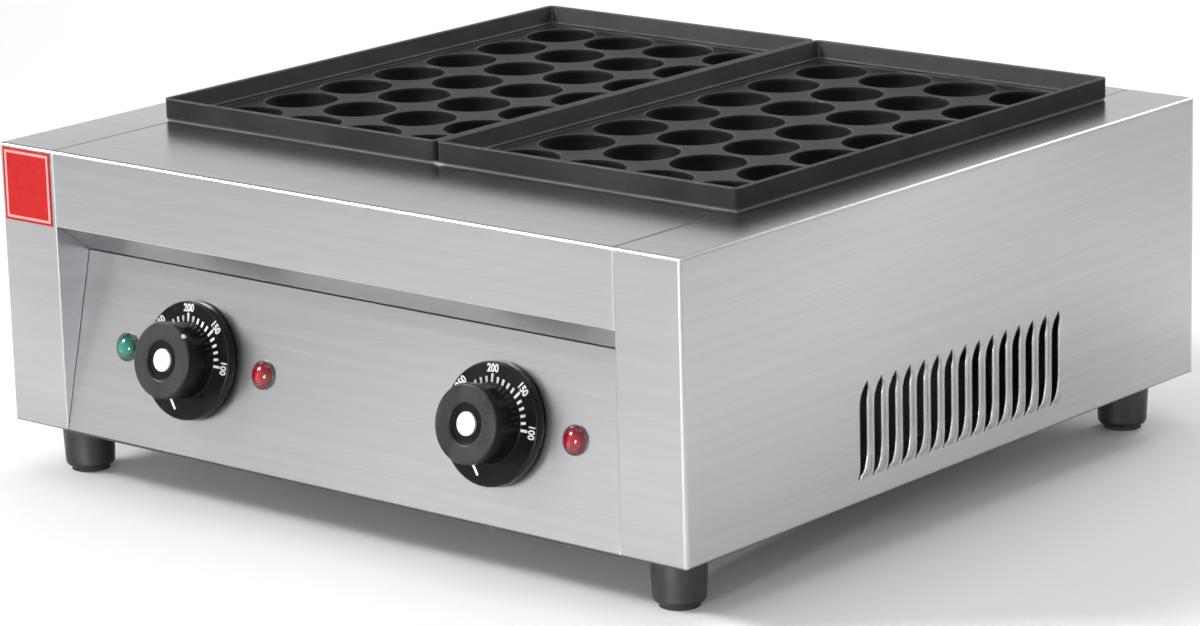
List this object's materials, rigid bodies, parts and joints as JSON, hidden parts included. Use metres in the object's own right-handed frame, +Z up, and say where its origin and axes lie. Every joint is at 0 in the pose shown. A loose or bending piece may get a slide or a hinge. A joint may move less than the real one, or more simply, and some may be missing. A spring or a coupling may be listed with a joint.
{
  "type": "takoyaki maker",
  "caption": "Countertop takoyaki maker: stainless box on feet with two lift-off cast plates of round cups, two thermostat knobs, indicator lamps and louvred sides.",
  "frame": {"origin": "middle of the casing's footprint, on the surface that the feet stand on", "axes": "+X to the user's right, +Y from the control panel to the rear, +Z up"},
  "size_m": [0.4596, 0.4632, 0.1899],
  "materials": {
    "stainless_sheet": "fine brushed, satin",
    "cast_plate": "matte seasoned black",
    "element_tube": "dark heat-stained",
    "ceramic": "matte glazed",
    "brass": "machined",
    "black_bakelite": "satin",
    "white_print": "printed",
    "spindle_steel": "turned",
    "green_lens": "translucent gloss",
    "red_lens": "translucent gloss",
    "bezel_metal": "gloss black",
    "white_plastic": "moulded",
    "red_lead": "insulated wire",
    "white_lead": "glass-fibre sleeve",
    "black_lead": "insulated wire",
    "green_lead": "insulated wire",
    "black_nylon": "moulded",
    "foot_metal": "dark polished",
    "foot_rubber": "matte",
    "screw_steel": "zinc plated",
    "red_tag": "printed label"
  },
  "bodies": {
    "casing": {"left_side_panel": "stainless_sheet", "right_side_panel": "stainless_sheet", "front_fascia": "stainless_sheet", "control_panel": "stainless_sheet", "rear_panel": "stainless_sheet", "base_plate": "stainless_sheet", "hob_frame": "stainless_sheet", "reflector_tray": "stainless_sheet", "heat_shield": "stainless_sheet", "left_heating_element": "element_tube", "right_heating_element": "element_tube", "element_supports": "stainless_sheet", "element_bushes": "ceramic", "element_nuts": "brass", "left_thermostat": "black_bakelite", "right_thermostat": "black_bakelite", "thermostat_screws": "screw_steel", "left_temperature_bulb": "brass", "right_temperature_bulb": "brass", "power_lamp_lens": "green_lens", "left_heating_lamp_lens": "red_lens", "right_heating_lamp_lens": "red_lens", "lamp_bezels": "bezel_metal", "lamp_bodies": "white_plastic", "lamp_clips": "screw_steel", "terminal_block": "white_plastic", "terminal_screws": "brass", "supply_leads": "red_lead", "heater_leads": "white_lead", "lamp_leads": "black_lead", "earth_lead": "green_lead", "earth_stud": "brass", "cable_gland": "black_nylon", "gland_nut": "black_nylon", "front_left_foot": "foot_metal", "front_right_foot": "foot_metal", "rear_left_foot": "foot_metal", "rear_right_foot": "foot_metal", "foot_pads": "foot_rubber", "foot_bolts": "screw_steel", "rear_panel_screws": "screw_steel", "base_screws": "screw_steel", "shield_screws": "screw_steel", "front_tag": "red_tag"},
    "left_knob": {"left_knob": "black_bakelite", "left_knob_inlay": "white_print", "left_dial_marks": "white_print", "left_thermostat_spindle": "spindle_steel"},
    "right_knob": {"right_knob": "black_bakelite", "right_knob_inlay": "white_print", "right_dial_marks": "white_print", "right_thermostat_spindle": "spindle_steel"},
    "left_plate": {"left_plate": "cast_plate"},
    "right_plate": {"right_plate": "cast_plate"}
  },
  "joints": [
    {"name": "left_knob_turn", "type": "hinge", "parent": "casing", "child": "left_knob", "pos_m": [-0.103, -0.20344, 0.07664], "axis": [0, -0.9729, 0.2313], "range_deg": [-300, 0]},
    {"name": "right_knob_turn", "type": "hinge", "parent": "casing", "child": "right_knob", "pos_m": [0.103, -0.20344, 0.07664], "axis": [0, -0.9729, 0.2313], "range_deg": [-300, 0]},
    {"name": "left_plate_lift", "type": "slide", "parent": "casing", "child": "left_plate", "axis": [0, 0, 1], "range_m": [0, 0.08]},
    {"name": "right_plate_lift", "type": "slide", "parent": "casing", "child": "right_plate", "axis": [0, 0, 1], "range_m": [0, 0.08]}
  ]
}
